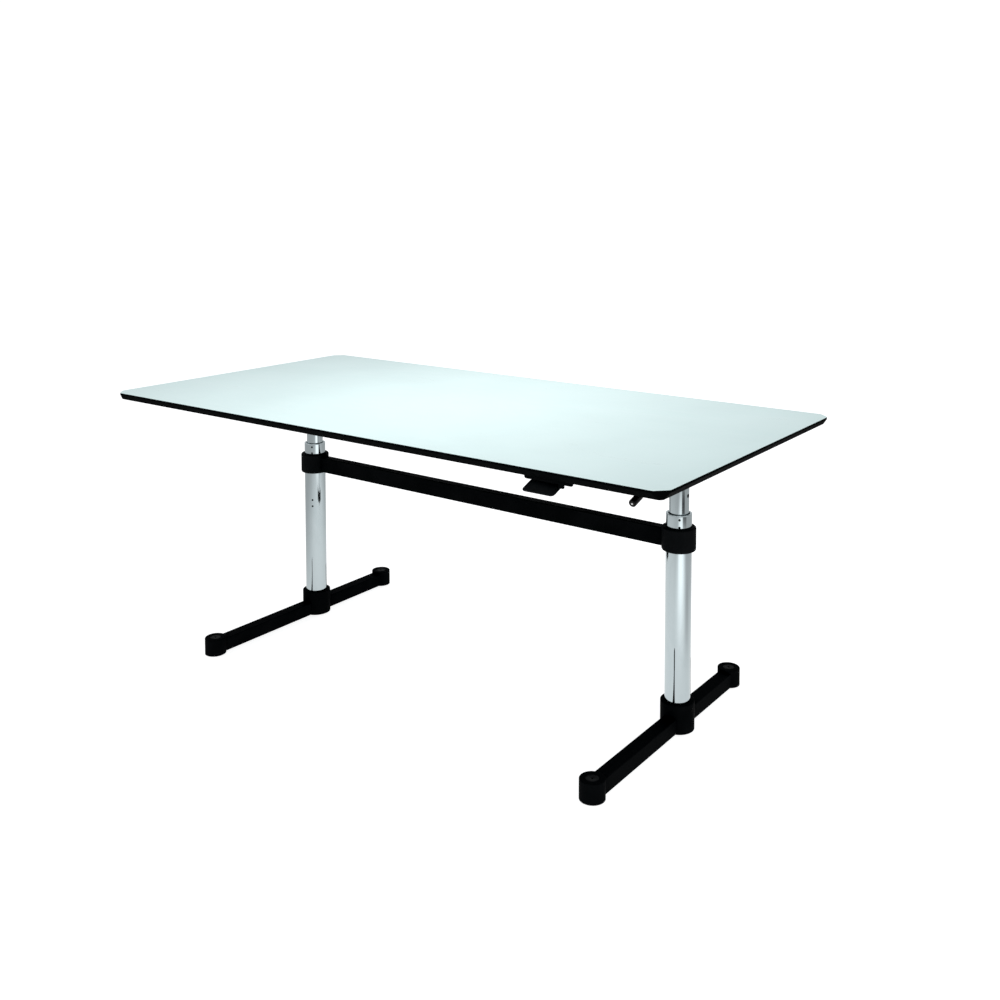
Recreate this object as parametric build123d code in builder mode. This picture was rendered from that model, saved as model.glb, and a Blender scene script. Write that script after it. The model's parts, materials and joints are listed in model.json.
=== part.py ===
from build123d import *
import os
from math import cos, radians, sin, sqrt

# A drafting table that is raised on two telescopic columns and tilts about their heads.
# Millimetres. The origin is on the floor under the middle of the worktop.
# +X is the sitter's right, -Y is the sitter's side, +Z is up.

# ---- driving dimensions ----
worktop_length = 1800.0
worktop_depth = 900.0
worktop_height = 765.0
worktop_thickness = 21.0
column_spacing = 1296.0
column_y = 94.0

# ---- worktop ----
laminate_thickness = 0.8
backing_thickness = 0.8
lipping_width = 14.0
bevel_inset = 12.0
bevel_height = 15.0
corner_bevel_inset = 3.0
corner_cut = 26.0
corner_softening = 9.0
underside = worktop_height - worktop_thickness
core_top = worktop_height - laminate_thickness
core_bottom = underside + backing_thickness

# ---- tilt hinge, on an axis along X through both column heads ----
pivot_drop = 29.0
pivot_z = underside - pivot_drop
pin_radius = 10.0
pin_bore = 6.3
running_gap = 0.05
tongue_half = 28.0
tongue_radius = 22.0
disc_gap = 0.2
disc_clearance = 0.3
pin_proud = 1.0

# ---- arms under the worktop ----
sheet = 4.0
arm_half = 35.0
arm_front = 380.0
arm_rear = 300.0
arm_end_depth = 20.0
arm_boss_drop = 8.0
arm_boss_radius = 24.0
arm_corner = 8.0
arm_edge_round = 2.5
bush_radius = 12.0
bush_collar_radius = 15.0
bush_collar = 2.0
arm_screw_ys = (-262.0, -150.0, -30.0, 160.0, 270.0, 370.0)
arm_screw_dx = 14.0
arm_screw_radius = 2.5
arm_screw_hole = 2.6
arm_screw_depth = 13.0
arm_screw_head = 5.0
arm_screw_head_height = 2.5
stiffener_depth = 40.0
stiffener_height = 20.0
stiffener_wall = 2.0
stiffener_corner = 4.0
stiffener_y = column_y + 110.0
stiffener_z = 726.0

# ---- columns ----
outer_radius = 32.5
outer_bore = 30.0
outer_bottom = 12.0
outer_top = 547.0
rim_height = 3.0
rim_bore = 26.2
inner_radius = 25.0
inner_bore = 22.0
inner_bottom = 102.0
inner_top = 690.0
guide_gap = 0.08
guide_bore = inner_radius + guide_gap
upper_guide = (512.0, outer_top)
lower_guide = (344.0, 380.0)
upper_screw_zs = (540.0, 521.0)
upper_screw_angles = (120.0, 300.0)
lower_screw_zs = (371.0, 351.0)
lower_screw_angles = {-1: (120.0, 300.0), 1: (30.0, 210.0)}
guide_screw_radius = 3.0
guide_screw_inner = 28.0
guide_screw_outer = 32.1
stop_ring_height = 6.0
stop_ring_radius = 29.0
head_flange_radius = 27.0
head_flange_height = 6.0
head_plug_bottom = 575.0
head_screw_zs = (596.0, 660.0)
head_screw_radius = 5.0
head_screw_inner = 15.0
head_screw_outer = 24.4

# ---- gas springs, one inside each column ----
gas_radius = 14.0
gas_bore = 11.0
gas_bottom = 125.0
gas_top = 555.0
gas_wall = 10.0
gas_stud_radius = 5.0
gas_stud_top = 595.0
rod_radius = 5.0
rod_gap = 0.1
rod_bottom = 4.0
piston_bottom = 400.0
piston_top = 410.0
piston_radius = 10.7
anchor_top = 20.0

# ---- feet ----
foot_bottom = 3.0
hub_radius = 43.0
hub_top = 75.0
beam_width = 37.0
beam_bottom = 4.0
beam_top = 42.0
front_reach = 399.0
rear_reach = 298.0
end_radius = 30.0
end_top = 50.0
cap_radius = 15.5
cap_bottom = 46.5
cap_top = 49.4
cap_hole = 2.5
stud_radius = 5.0
stud_top = 42.0
stud_clearance = 0.3
key_socket = 2.9
key_socket_depth = 6.0
insert_radius = 8.0
insert_bottom = 3.2
insert_top = 18.0
pad_radius = 22.0
pad_height = 2.8
pad_socket = 1.5

# ---- crossbar and its collars ----
collar_bottom = 457.0
collar_top = 517.0
collar_radius = 43.0
collar_round = 5.0
crossbar_depth = 30.0
crossbar_bottom = 462.0
crossbar_top = 508.0
crossbar_wall = 3.0
crossbar_corner = 2.0
spigot_reach = 110.0
grub_radius = 4.0
grub_inner = 33.0
grub_outer = 42.4
collar_grub_zs = (472.0, 502.0)
hub_grub_zs = (28.0, 58.0)
crossbar_bolt_reaches = (62.0, 92.0)
crossbar_bolt_length = 12.0
crossbar_bolt_head = 6.5
crossbar_bolt_head_height = 4.0

# ---- release paddle under the front edge ----
paddle_left = 546.0
paddle_right = 629.0
paddle_pin_y = -376.0
paddle_pin_z = 731.0
paddle_slope = 21.6
paddle_reach = 62.0
paddle_shoulder = 18.0
paddle_sheet = 3.0
paddle_front_corner = 9.0
paddle_rear_corner = 8.0
paddle_edge_round = 1.0
tongue_left = 575.0
barrel_left = 570.0
barrel_right = 612.0
barrel_radius = 5.5
paddle_pin_radius = 3.0
paddle_pin_head = 4.8
paddle_pin_head_height = 3.0
ear_left = 566.0
ear_right = 634.0
ear_radius = 9.0
ear_sheet = 3.0
bracket_left = 552.0
bracket_right = 676.0
bracket_front = -430.0
bracket_rear = -350.0
bracket_sheet = 2.5
bracket_corner = 8.0
lip_bottom = 735.0
lip_corner = 5.0
lug_left = 640.0
lug_right = 654.0
lug_bottom = 727.0
lug_corner = 3.0
bracket_screws = ((561.0, -416.0), (667.0, -416.0), (667.0, -361.0), (561.0, -361.0))
bracket_screw_radius = 2.0
bracket_screw_hole = 2.2
bracket_screw_depth = 11.0
bracket_screw_head = 4.5
bracket_screw_head_height = 2.2
gland_x = 592.0
gland_tab_half = 9.0
gland_radius = 4.0
gland_bore = 1.3
gland_flats = 6.5
gland_flats_length = 5.0
gland_tail = 14.0
spring_start = 614.5
spring_length = 11.0
spring_pitch = 1.8
spring_radius = 4.7
spring_wire = 0.65

# ---- clamping lever on the right-hand tilt pivot ----
bolt_radius = 6.0
washer_inner = arm_half + bush_collar
washer_outer = washer_inner + 2.0
bolt_head = 8.0
bolt_head_radius = 11.0
nut_height = 10.0
hinge_bolt_reach = washer_outer + nut_height + 3.0
clamp_bolt_reach = 62.0
lever_hub_start = washer_outer + 0.3
lever_hub_end = 66.0
lever_hub_radius = 15.0
lever_hub_wall = 3.0
lever_offset = 56.0
lever_droop = 4.9
lever_bend = 212.8
lever_bend_radius = 30.0
lever_rod_radius = 4.5
lever_rod_start = 8.0
grip_droop = 18.0
grip_start = 12.0
grip_end = 123.0
grip_radius = 9.0
lever_tip_radius = 2.6
lever_tip_length = 8.0
lever_tip_proud = 0.8

stand = (Align.CENTER, Align.CENTER, Align.MIN)
sides = {"left": -1, "right": 1}

os.makedirs("parts", exist_ok=True)


def save(piece, name):
    """Labels a finished piece and writes it as its own file."""
    piece.part.label = name
    export_step(piece.part, f"parts/{name}.step")


def column_x(side):
    """X of the left (-1) or right (+1) column's axis."""
    return side * column_spacing / 2


def upright(radius, bottom, top, points, mode=Mode.ADD):
    """Round upright bars or holes in the part being built, at (x, y) points."""
    with Locations(*[(x, y, bottom) for x, y in points]):
        Cylinder(radius, top - bottom, align=stand, mode=mode)


def crosswise(radius, start, end, y, z, mode=Mode.ADD):
    """A round bar or hole along X from start to end in the part being built."""
    with Locations(((start + end) / 2, y, z)):
        Cylinder(radius, abs(end - start), rotation=(0, 90, 0), mode=mode)


def radial(radius, inner, outer, side, heights, angles, mode=Mode.ADD):
    """Round bars or holes square to a column's axis, between two distances from it."""
    middle = (inner + outer) / 2
    for angle in angles:
        x = column_x(side) + middle * cos(radians(angle))
        y = column_y + middle * sin(radians(angle))
        with Locations(*[(x, y, height) for height in heights]):
            Cylinder(radius, outer - inner, rotation=(-90, 90 - angle, 0), mode=mode)


def guide_screw_bars(inner, outer, side, mode=Mode.ADD):
    """One column's guide screws, or their holes, between two distances from its axis."""
    radial(guide_screw_radius, inner, outer, side, upper_screw_zs, upper_screw_angles, mode)
    radial(guide_screw_radius, inner, outer, side, lower_screw_zs, lower_screw_angles[side], mode)


def outboard(side):
    """Angle about a column that points away from the table's middle."""
    return 0.0 if side > 0 else 180.0


# ---------------------------------------------------------------- worktop


def outline(height, inset, corner_inset):
    """The worktop's outline at a height, its sides and its cut corners drawn in."""
    with BuildSketch(Plane.XY.offset(height)) as shape:
        Rectangle(worktop_length - 2 * inset, worktop_depth - 2 * inset)
        chamfer(shape.vertices(), corner_cut - 2 * inset + corner_inset * sqrt(2))
        fillet(shape.vertices(), corner_softening)
    return shape.sketch




def arm_screw_points(side):
    """Where the screws of one arm stand, as (x, y)."""
    x = column_x(side)
    return [(x + dx, y) for y in arm_screw_ys for dx in (-arm_screw_dx, arm_screw_dx)]


all_arm_screws = arm_screw_points(-1) + arm_screw_points(1)
pilot_top = underside + arm_screw_depth
bracket_pilot_top = underside + bracket_screw_depth

with BuildPart() as worktop_laminate:
    extrude(outline(core_top, 0, 0), amount=laminate_thickness)
save(worktop_laminate, "worktop_laminate")

with BuildPart() as worktop_lipping:
    bevel_top = underside + bevel_height
    bevel_foot = outline(underside, bevel_inset, corner_bevel_inset)
    inside = outline(underside, lipping_width, lipping_width)
    extrude(outline(bevel_top, 0, 0), amount=core_top - bevel_top)
    loft([bevel_foot, outline(bevel_top, 0, 0)], ruled=True)
    extrude(inside, amount=worktop_thickness, mode=Mode.SUBTRACT)
save(worktop_lipping, "worktop_lipping")

with BuildPart() as worktop_core:
    extrude(outline(core_bottom, lipping_width, lipping_width), amount=core_top - core_bottom)
    upright(arm_screw_radius, core_bottom, pilot_top, all_arm_screws, Mode.SUBTRACT)
    upright(bracket_screw_radius, core_bottom, bracket_pilot_top, bracket_screws, Mode.SUBTRACT)
save(worktop_core, "worktop_core")

with BuildPart() as worktop_backing:
    extrude(outline(underside, lipping_width, lipping_width), amount=backing_thickness)
    upright(arm_screw_radius, underside, core_bottom, all_arm_screws, Mode.SUBTRACT)
    upright(bracket_screw_radius, underside, core_bottom, bracket_screws, Mode.SUBTRACT)
save(worktop_backing, "worktop_backing")

# ---------------------------------------------------------------- arms and tilt hinge

for side_name, side in sides.items():
    x = column_x(side)
    with BuildPart() as arm:
        with BuildSketch(Plane.YZ.offset(x)) as cheek:
            with BuildLine():
                Polyline(
                    (column_y - arm_front, underside),
                    (column_y - arm_front, underside - arm_end_depth),
                    (column_y - 2 * arm_boss_radius, pivot_z - arm_boss_drop),
                    (column_y + 2 * arm_boss_radius, pivot_z - arm_boss_drop),
                    (column_y + arm_rear, underside - arm_end_depth),
                    (column_y + arm_rear, underside),
                    close=True,
                )
            make_face()
            fillet(cheek.vertices().group_by(Axis.Y)[1][0:2], arm_corner)
            with Locations((column_y, pivot_z)):
                Circle(arm_boss_radius)
        extrude(amount=arm_half, both=True)
        with BuildSketch(Plane.YZ.offset(x)):
            with Locations((column_y, underside - sheet)):
                Rectangle(3 * arm_front, 3 * arm_front, align=(Align.CENTER, Align.MAX))
        extrude(amount=arm_half - sheet, both=True, mode=Mode.SUBTRACT)
        crosswise(bush_radius, x - arm_half, x + arm_half, column_y, pivot_z, Mode.SUBTRACT)
        upright(arm_screw_hole, underside - sheet, underside, arm_screw_points(side), Mode.SUBTRACT)
        fillet(arm.edges().filter_by(Axis.Y).group_by(Axis.Z)[-1], arm_edge_round)
    save(arm, f"arm_{side_name}")

with BuildPart() as arm_stiffener:
    with BuildSketch(Plane.YZ) as section:
        with Locations((stiffener_y, stiffener_z)):
            RectangleRounded(stiffener_depth, stiffener_height, stiffener_corner)
            inner_depth = stiffener_depth - 2 * stiffener_wall
            inner_height = stiffener_height - 2 * stiffener_wall
            inner_corner = stiffener_corner - stiffener_wall
            RectangleRounded(inner_depth, inner_height, inner_corner, mode=Mode.SUBTRACT)
    extrude(amount=column_x(1) - arm_half, both=True)
save(arm_stiffener, "arm_stiffener")

with BuildPart() as arm_screws:
    seat = underside - sheet
    upright(arm_screw_radius, seat, pilot_top, all_arm_screws)
    upright(arm_screw_head, seat - arm_screw_head_height, seat, all_arm_screws)
    fillet(arm_screws.faces().filter_by(Axis.Z).group_by(Axis.Z)[0].edges(), 1.2)
save(arm_screws, "arm_screws")

with BuildPart() as pivot_bushes:
    for side in sides.values():
        for way in (-1, 1):
            x = column_x(side)
            inner = x + way * (arm_half - sheet)
            face = x + way * arm_half
            outer = x + way * (arm_half + bush_collar)
            crosswise(bush_radius, inner, face, column_y, pivot_z)
            crosswise(bush_collar_radius, face, outer, column_y, pivot_z)
            crosswise(pin_radius + running_gap, inner, outer, column_y, pivot_z, Mode.SUBTRACT)
save(pivot_bushes, "pivot_bushes")

with BuildPart() as friction_discs:
    for side in sides.values():
        for way in (-1, 1):
            near = column_x(side) + way * (tongue_half + disc_gap)
            far = column_x(side) + way * (arm_half - sheet)
            crosswise(tongue_radius, near, far, column_y, pivot_z)
            crosswise(pin_radius + disc_clearance, near, far, column_y, pivot_z, Mode.SUBTRACT)
save(friction_discs, "friction_discs")

with BuildPart() as pivot_washers:
    for side in sides.values():
        for way in (-1, 1):
            near = column_x(side) + way * washer_inner
            far = column_x(side) + way * washer_outer
            crosswise(bush_collar_radius, near, far, column_y, pivot_z)
            crosswise(bolt_radius, near, far, column_y, pivot_z, Mode.SUBTRACT)
save(pivot_washers, "pivot_washers")


def hinge_bolt(side, reach):
    """A hexagon-headed bolt along the tilt axis, its head on the inboard side."""
    inboard = column_x(side) - side * washer_outer
    with BuildPart() as bolt:
        crosswise(bolt_radius, inboard, column_x(side) + side * reach, column_y, pivot_z)
        with BuildSketch(Plane.YZ.offset(inboard)):
            with Locations((column_y, pivot_z)):
                RegularPolygon(bolt_head_radius, 6)
        extrude(amount=-side * bolt_head)
    return bolt


save(hinge_bolt(-1, hinge_bolt_reach), "hinge_bolt")
save(hinge_bolt(1, clamp_bolt_reach), "clamp_bolt")

with BuildPart() as hinge_nut:
    nut_face = column_x(-1) - washer_outer
    with BuildSketch(Plane.YZ.offset(nut_face)):
        with Locations((column_y, pivot_z)):
            RegularPolygon(bolt_head_radius, 6)
            Circle(bolt_radius, mode=Mode.SUBTRACT)
    extrude(amount=-nut_height)
save(hinge_nut, "hinge_nut")

# ---------------------------------------------------------------- telescopic columns

crossbar_middle = (crossbar_bottom + crossbar_top) / 2
crossbar_rear = column_y + crossbar_depth / 2

for side_name, side in sides.items():
    x = column_x(side)
    axis_point = [(x, column_y)]
    with BuildPart() as inner_tube:
        upright(inner_radius, inner_bottom, inner_top, axis_point)
        upright(inner_bore, inner_bottom, inner_top, axis_point, Mode.SUBTRACT)
        hole_start = inner_bore - 2
        hole_end = inner_radius + 1
        radial(head_screw_radius, hole_start, hole_end, side, head_screw_zs, (0, 180), Mode.SUBTRACT)
    save(inner_tube, f"inner_tube_{side_name}")

    with BuildPart() as head:
        flange_top = inner_top + head_flange_height
        upright(inner_bore, head_plug_bottom, inner_top, axis_point)
        upright(head_flange_radius, inner_top, flange_top, axis_point)
        with BuildSketch(Plane.YZ.offset(x)):
            with Locations((column_y, pivot_z)):
                Circle(tongue_radius)
            with Locations((column_y, flange_top)):
                Rectangle(2 * tongue_radius, pivot_z - flange_top, align=(Align.CENTER, Align.MIN))
        extrude(amount=tongue_half, both=True)
        crosswise(pin_radius, x - tongue_half, x + tongue_half, column_y, pivot_z, Mode.SUBTRACT)
        upright(gas_stud_radius, head_plug_bottom, gas_stud_top, axis_point, Mode.SUBTRACT)
        plug_end = inner_radius - 1
        radial(head_screw_radius, head_screw_inner, plug_end, side, head_screw_zs, (0, 180), Mode.SUBTRACT)
    save(head, f"column_head_{side_name}")

    with BuildPart() as gas_cylinder:
        upright(gas_radius, gas_bottom, gas_top, axis_point)
        upright(gas_bore, gas_bottom + gas_wall, gas_top - gas_wall, axis_point, Mode.SUBTRACT)
        upright(rod_radius + rod_gap, gas_bottom, gas_bottom + gas_wall, axis_point, Mode.SUBTRACT)
        upright(gas_stud_radius, gas_top, gas_stud_top, axis_point)
    save(gas_cylinder, f"gas_cylinder_{side_name}")

    with BuildPart() as outer_tube:
        upright(outer_radius, outer_bottom, outer_top, axis_point)
        upright(outer_bore, outer_bottom, outer_top, axis_point, Mode.SUBTRACT)
        guide_screw_bars(outer_bore - 1, outer_radius + 1, side, Mode.SUBTRACT)
    save(outer_tube, f"outer_tube_{side_name}")

    with BuildPart() as collar:
        upright(collar_radius, collar_bottom, collar_top, axis_point)
        fillet(collar.edges().filter_by(GeomType.CIRCLE), collar_round)
        spigot_depth = crossbar_depth - 2 * crossbar_wall
        spigot_bottom = crossbar_bottom + crossbar_wall
        with BuildSketch(Plane.XY.offset(spigot_bottom)):
            with Locations((x - side * spigot_reach / 2, column_y)):
                Rectangle(spigot_reach, spigot_depth)
        extrude(amount=crossbar_top - crossbar_wall - spigot_bottom)
        upright(outer_radius, collar_bottom, collar_top, axis_point, Mode.SUBTRACT)
        radial(grub_radius, outer_bore, collar_radius + 1, side, collar_grub_zs, (90,), Mode.SUBTRACT)
        for reach in crossbar_bolt_reaches:
            with Locations((x - side * reach, column_y + spigot_depth / 2, crossbar_middle)):
                Cylinder(grub_radius, 20, rotation=(90, 0, 0), mode=Mode.SUBTRACT)
    save(collar, f"collar_{side_name}")

column_points = [(column_x(side), column_y) for side in sides.values()]

with BuildPart() as pivot_pins:
    for side in sides.values():
        near = column_x(side) - arm_half - pin_proud
        far = column_x(side) + arm_half + pin_proud
        crosswise(pin_radius, near, far, column_y, pivot_z)
        crosswise(pin_bore, near, far, column_y, pivot_z, Mode.SUBTRACT)
save(pivot_pins, "pivot_pins")

with BuildPart() as head_screws:
    for side in sides.values():
        radial(head_screw_radius, head_screw_inner, head_screw_outer, side, head_screw_zs, (0, 180))
save(head_screws, "head_screws")

with BuildPart() as stop_rings:
    ring_top = inner_bottom + stop_ring_height
    upright(stop_ring_radius, inner_bottom, ring_top, column_points)
    upright(inner_radius, inner_bottom, ring_top, column_points, Mode.SUBTRACT)
save(stop_rings, "stop_rings")

with BuildPart() as piston_rods:
    upright(rod_radius, rod_bottom, piston_bottom, column_points)
    upright(piston_radius, piston_bottom, piston_top, column_points)
save(piston_rods, "piston_rods")

with BuildPart() as rod_anchors:
    upright(outer_bore, outer_bottom, anchor_top, column_points)
    upright(rod_radius, outer_bottom, anchor_top, column_points, Mode.SUBTRACT)
save(rod_anchors, "rod_anchors")

with BuildPart() as rim_rings:
    upright(outer_radius, outer_top, outer_top + rim_height, column_points)
    fillet(rim_rings.edges().group_by(Axis.Z)[-1], 0.8)
    upright(rim_bore, outer_top, outer_top + rim_height, column_points, Mode.SUBTRACT)
save(rim_rings, "rim_rings")

for guide_name, (bottom, top) in {"upper": upper_guide, "lower": lower_guide}.items():
    with BuildPart() as guide_bushes:
        upright(outer_bore, bottom, top, column_points)
        upright(guide_bore, bottom, top, column_points, Mode.SUBTRACT)
        for side in sides.values():
            guide_screw_bars(guide_screw_inner, outer_bore + 1, side, Mode.SUBTRACT)
    save(guide_bushes, f"{guide_name}_guide_bushes")

with BuildPart() as guide_screws:
    for side in sides.values():
        guide_screw_bars(guide_screw_inner, guide_screw_outer, side)
save(guide_screws, "guide_screws")

# ---------------------------------------------------------------- crossbar

with BuildPart() as crossbar:
    with BuildSketch(Plane.YZ):
        with Locations((column_y, crossbar_middle)):
            crossbar_height = crossbar_top - crossbar_bottom
            Rectangle(crossbar_depth, crossbar_height)
            inner_depth = crossbar_depth - 2 * crossbar_wall
            inner_height = crossbar_height - 2 * crossbar_wall
            Rectangle(inner_depth, inner_height, mode=Mode.SUBTRACT)
    extrude(amount=column_x(1) - outer_radius, both=True)
    outer_faces = crossbar.edges().filter_by(Axis.X)
    fillet(outer_faces.group_by(Axis.Z)[0] + outer_faces.group_by(Axis.Z)[-1], crossbar_corner)
    upright(collar_radius, collar_bottom, collar_top, column_points, Mode.SUBTRACT)
    for side in sides.values():
        for reach in crossbar_bolt_reaches:
            bolt_x = column_x(side) - side * reach
            with Locations((bolt_x, crossbar_rear - crossbar_wall / 2, crossbar_middle)):
                Cylinder(grub_radius, 2 * crossbar_wall, rotation=(90, 0, 0), mode=Mode.SUBTRACT)
save(crossbar, "crossbar")

with BuildPart() as crossbar_bolts:
    for side in sides.values():
        for reach in crossbar_bolt_reaches:
            bolt_x = column_x(side) - side * reach
            with Locations((bolt_x, crossbar_rear - crossbar_bolt_length / 2, crossbar_middle)):
                Cylinder(grub_radius, crossbar_bolt_length, rotation=(90, 0, 0))
            with Locations((bolt_x, crossbar_rear + crossbar_bolt_head_height / 2, crossbar_middle)):
                Cylinder(crossbar_bolt_head, crossbar_bolt_head_height, rotation=(90, 0, 0))
    fillet(crossbar_bolts.faces().filter_by(Axis.Y).group_by(Axis.Y)[-1].edges(), 1.8)
save(crossbar_bolts, "crossbar_bolts")

with BuildPart() as clamp_grub_screws:
    for side in sides.values():
        radial(grub_radius, grub_inner, grub_outer, side, collar_grub_zs, (90,))
        radial(grub_radius, grub_inner, grub_outer, side, hub_grub_zs, (outboard(side),))
save(clamp_grub_screws, "clamp_grub_screws")

# ---------------------------------------------------------------- feet

front_end_y = column_y - front_reach
rear_end_y = column_y + rear_reach

for side_name, side in sides.items():
    x = column_x(side)
    end_points = [(x, front_end_y), (x, rear_end_y)]
    with BuildPart() as foot:
        with BuildSketch(Plane.XY.offset(beam_bottom)):
            with Locations((x, (front_end_y + rear_end_y) / 2)):
                Rectangle(beam_width, rear_end_y - front_end_y)
        extrude(amount=beam_top - beam_bottom)
        fillet(foot.edges().filter_by(Axis.Y), 2.5)
        upright(hub_radius, foot_bottom, hub_top, [(x, column_y)])
        upright(end_radius, foot_bottom, end_top, end_points)
        rounds = foot.edges().filter_by(GeomType.CIRCLE)
        fillet(rounds.filter_by(lambda edge: edge.center().Z > beam_top + 5), 2.5)
        upright(outer_radius, outer_bottom, hub_top, [(x, column_y)], Mode.SUBTRACT)
        upright(rod_radius, foot_bottom, outer_bottom, [(x, column_y)], Mode.SUBTRACT)
        upright(stud_radius + stud_clearance, foot_bottom, cap_bottom, end_points, Mode.SUBTRACT)
        upright(insert_radius, foot_bottom, insert_top, end_points, Mode.SUBTRACT)
        upright(cap_radius, cap_bottom, end_top, end_points, Mode.SUBTRACT)
        radial(grub_radius, outer_bore, hub_radius + 1, side, hub_grub_zs, (outboard(side),), Mode.SUBTRACT)
    save(foot, f"foot_{side_name}")

    for end_name, end_y in {"front": front_end_y, "rear": rear_end_y}.items():
        corner = f"{end_name}_{side_name}"
        with BuildPart() as foot_cap:
            upright(cap_radius, cap_bottom, cap_top, [(x, end_y)])
            fillet(foot_cap.edges().group_by(Axis.Z)[-1], 0.6)
            upright(cap_hole, cap_bottom, cap_top, [(x, end_y)], Mode.SUBTRACT)
        save(foot_cap, f"foot_cap_{corner}")

        with BuildPart() as leveller_stud:
            upright(stud_radius, pad_socket, stud_top, [(x, end_y)])
            with BuildSketch(Plane.XY.offset(stud_top - key_socket_depth)):
                with Locations((x, end_y)):
                    RegularPolygon(key_socket, 6)
            extrude(amount=key_socket_depth, mode=Mode.SUBTRACT)
        save(leveller_stud, f"leveller_stud_{corner}")

        with BuildPart() as leveller_pad:
            upright(pad_radius, 0, pad_height, [(x, end_y)])
            fillet(leveller_pad.edges().group_by(Axis.Z)[0], 0.8)
            upright(stud_radius, pad_socket, pad_height, [(x, end_y)], Mode.SUBTRACT)
        save(leveller_pad, f"leveller_pad_{corner}")

with BuildPart() as leveller_inserts:
    all_ends = [(column_x(s), y) for s in sides.values() for y in (front_end_y, rear_end_y)]
    upright(insert_radius, insert_bottom, insert_top, all_ends)
    upright(stud_radius + running_gap, foot_bottom, insert_top, all_ends, Mode.SUBTRACT)
save(leveller_inserts, "leveller_inserts")

# ---------------------------------------------------------------- release paddle

plate_bottom = underside - bracket_sheet
bracket_width = bracket_right - bracket_left
bracket_x = (bracket_left + bracket_right) / 2
hanging = (Align.CENTER, Align.MAX)

with BuildPart() as paddle_bracket:
    with BuildSketch(Plane.XY.offset(plate_bottom)) as plate:
        with Locations((bracket_x, (bracket_front + bracket_rear) / 2)):
            Rectangle(bracket_width, bracket_rear - bracket_front)
        fillet(plate.vertices().group_by(Axis.Y)[-1], bracket_corner)
    extrude(amount=bracket_sheet)
    with BuildSketch(Plane.XZ.offset(-bracket_front)) as lip:
        with Locations((bracket_x, plate_bottom)):
            Rectangle(bracket_width, plate_bottom - lip_bottom, align=hanging)
        fillet(lip.vertices().group_by(Axis.Y)[0], lip_corner)
        with Locations(((lug_left + lug_right) / 2, plate_bottom)):
            Rectangle(lug_right - lug_left, plate_bottom - lug_bottom, align=hanging)
        fillet(lip.vertices().group_by(Axis.Y)[0], lug_corner)
    extrude(amount=-bracket_sheet)
    for ear, way in ((ear_left, 1), (ear_right, -1)):
        with BuildSketch(Plane.YZ.offset(ear)):
            with Locations((paddle_pin_y, paddle_pin_z)):
                Circle(ear_radius)
            with Locations((paddle_pin_y, plate_bottom)):
                Rectangle(2 * ear_radius, plate_bottom - paddle_pin_z, align=hanging)
            with Locations((paddle_pin_y, paddle_pin_z)):
                Circle(paddle_pin_radius, mode=Mode.SUBTRACT)
        extrude(amount=way * ear_sheet)
    with BuildSketch(Plane.XZ.offset(-bracket_rear)):
        with Locations((gland_x, paddle_pin_z)):
            Circle(gland_tab_half)
        with Locations((gland_x, plate_bottom)):
            Rectangle(2 * gland_tab_half, plate_bottom - paddle_pin_z, align=hanging)
        with Locations((gland_x, paddle_pin_z)):
            Circle(gland_radius, mode=Mode.SUBTRACT)
    extrude(amount=bracket_sheet)
    upright(bracket_screw_hole, plate_bottom, underside, bracket_screws, Mode.SUBTRACT)
save(paddle_bracket, "paddle_bracket")

with BuildPart() as bracket_screw_set:
    upright(bracket_screw_radius, plate_bottom, bracket_pilot_top, bracket_screws)
    upright(bracket_screw_head, plate_bottom - bracket_screw_head_height, plate_bottom, bracket_screws)
    fillet(bracket_screw_set.faces().filter_by(Axis.Z).group_by(Axis.Z)[0].edges(), 1.0)
save(bracket_screw_set, "bracket_screws")

with BuildPart() as paddle_pin:
    pin_start = ear_left - paddle_pin_head_height
    pin_end = ear_right + paddle_pin_head_height
    crosswise(paddle_pin_radius, pin_start, pin_end, paddle_pin_y, paddle_pin_z)
    crosswise(paddle_pin_head, pin_start, ear_left, paddle_pin_y, paddle_pin_z)
    crosswise(paddle_pin_head, ear_right, pin_end, paddle_pin_y, paddle_pin_z)
save(paddle_pin, "paddle_pin")

slope = radians(paddle_slope)
paddle_plane = Plane(
    origin=((paddle_left + paddle_right) / 2, paddle_pin_y, paddle_pin_z),
    x_dir=(1, 0, 0),
    z_dir=(0, -sin(slope), cos(slope)),
)
with BuildPart() as release_paddle:
    with BuildSketch(paddle_plane.offset(-paddle_sheet / 2)) as blade:
        with Locations((0, -paddle_shoulder)):
            Rectangle(paddle_right - paddle_left, paddle_reach - paddle_shoulder, align=hanging)
        fillet(blade.vertices().group_by(Axis.Y)[0], paddle_front_corner)
        fillet(blade.vertices().group_by(Axis.Y)[-1], paddle_rear_corner)
    extrude(amount=paddle_sheet)
    rims = release_paddle.faces().filter_by(Axis((0, 0, 0), tuple(paddle_plane.z_dir))).edges()
    fillet(rims, paddle_edge_round)
    with BuildSketch(paddle_plane.offset(-paddle_sheet / 2)):
        with Locations(((tongue_left + barrel_right) / 2 - paddle_plane.origin.X, 0)):
            Rectangle(barrel_right - tongue_left, paddle_shoulder + 2, align=hanging)
    extrude(amount=paddle_sheet)
    crosswise(barrel_radius, barrel_left, barrel_right, paddle_pin_y, paddle_pin_z)
    bore = paddle_pin_radius + running_gap
    crosswise(bore, barrel_left - 1, barrel_right + 1, paddle_pin_y, paddle_pin_z, Mode.SUBTRACT)
save(release_paddle, "release_paddle")

with BuildPart() as paddle_spring:
    spring_origin = (spring_start, paddle_pin_y, paddle_pin_z)
    with BuildLine() as coil:
        Helix(spring_pitch, spring_length, spring_radius, center=spring_origin, direction=(1, 0, 0))
    with BuildSketch(Plane(origin=coil.line @ 0, z_dir=coil.line % 0)):
        Circle(spring_wire)
    sweep(is_frenet=True)
save(paddle_spring, "paddle_spring")

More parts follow.
